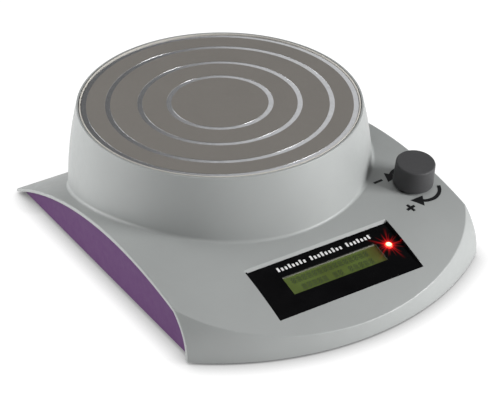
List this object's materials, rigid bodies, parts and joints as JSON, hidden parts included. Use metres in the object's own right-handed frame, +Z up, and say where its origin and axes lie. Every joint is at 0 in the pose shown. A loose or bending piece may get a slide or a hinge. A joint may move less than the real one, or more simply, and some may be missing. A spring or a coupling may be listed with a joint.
{
  "type": "magnetic stirrer",
  "caption": "Low bench magnetic stirrer: round steel plate on a grey arched casing with tinted end panels, a small display and a push-and-turn speed knob.",
  "frame": {"origin": "on the bench, under the middle of the outer box", "axes": "+X to the right of a user facing the display, +Y to the back, +Z up"},
  "size_m": [0.2008, 0.2554, 0.0745],
  "materials": {
    "housing_grey": "fine-textured moulded ABS, satin",
    "panel_purple": "moulded ABS, satin",
    "cover_grey": "moulded ABS, fine texture",
    "plate_steel": "bead-blasted with bright turned rings",
    "seal_grey": "smooth silicone",
    "rubber_black": "matte",
    "screw_steel": "zinc plated",
    "knob_charcoal": "soft matte",
    "shaft_steel": "turned",
    "encoder_case": "pressed and die-cast",
    "rotor_black": "moulded",
    "window_black": "polished, printed black from behind",
    "frame_metal": "pressed sheet",
    "lcd_green": "backlit display glass",
    "backlight_white": "diffuser",
    "led_red": "tinted clear",
    "board_green": "solder mask",
    "chip_black": "moulded",
    "header_white": "nylon",
    "core_iron": "ground soft iron",
    "yoke_steel": "zinc plated sheet",
    "bobbin_nylon": "nylon",
    "copper_wire": "enamelled copper winding",
    "pillar_brass": "turned",
    "sink_alu": "anodised extrusion",
    "capacitor_blue": "shrink sleeve",
    "cable_grey": "PVC",
    "lead_red": "PVC",
    "inlet_black": "moulded, with metal pin"
  },
  "bodies": {
    "housing": {"top_housing": "housing_grey", "bottom_cover": "cover_grey", "case_screws": "screw_steel", "side_panel_left": "panel_purple", "side_panel_right": "panel_purple", "rubber_feet": "rubber_black", "top_plate": "plate_steel", "plate_studs": "screw_steel", "plate_seal": "seal_grey", "plate_washers": "screw_steel", "plate_nuts": "screw_steel", "encoder_body": "encoder_case", "encoder_washer": "screw_steel", "encoder_nut": "screw_steel", "encoder_board": "board_green", "encoder_header": "header_white", "switch_dome": "screw_steel", "display_window": "window_black", "lcd_frame": "frame_metal", "lcd_glass": "lcd_green", "lcd_backlight": "backlight_white", "display_board": "board_green", "display_board_screws": "screw_steel", "display_chips": "chip_black", "display_headers": "header_white", "status_led": "led_red", "coil_yoke": "yoke_steel", "pole_cores": "core_iron", "core_screws": "screw_steel", "coil_bobbins": "bobbin_nylon", "coil_windings": "copper_wire", "yoke_pillars": "pillar_brass", "pillar_base_screws": "screw_steel", "pillar_top_screws": "screw_steel", "driver_board": "board_green", "driver_board_screws": "screw_steel", "heat_sink": "sink_alu", "power_transistors": "chip_black", "smoothing_capacitors": "capacitor_blue", "board_connectors": "header_white", "driver_chip": "chip_black", "coil_leads": "lead_red", "ribbon_cable": "cable_grey", "encoder_lead": "cable_grey", "dc_inlet": "inlet_black", "dc_inlet_nut": "screw_steel", "dc_inlet_leads": "lead_red"},
    "rotor": {"encoder_rotor": "rotor_black"},
    "knob": {"control_knob": "knob_charcoal", "knob_grub_screw": "screw_steel", "encoder_shaft": "shaft_steel"}
  },
  "joints": [
    {"name": "knob_turn", "type": "hinge", "parent": "housing", "child": "rotor", "pos_m": [0.0821, -0.0517, 0.03448], "axis": [0, -0.1346, 0.9909], "continuous": true},
    {"name": "knob_press", "type": "slide", "parent": "rotor", "child": "knob", "axis": [0, 0.1346, -0.9909], "range_m": [0, 0.0005], "stiffness_N_per_m": 1500, "springref_m": -0.001}
  ]
}
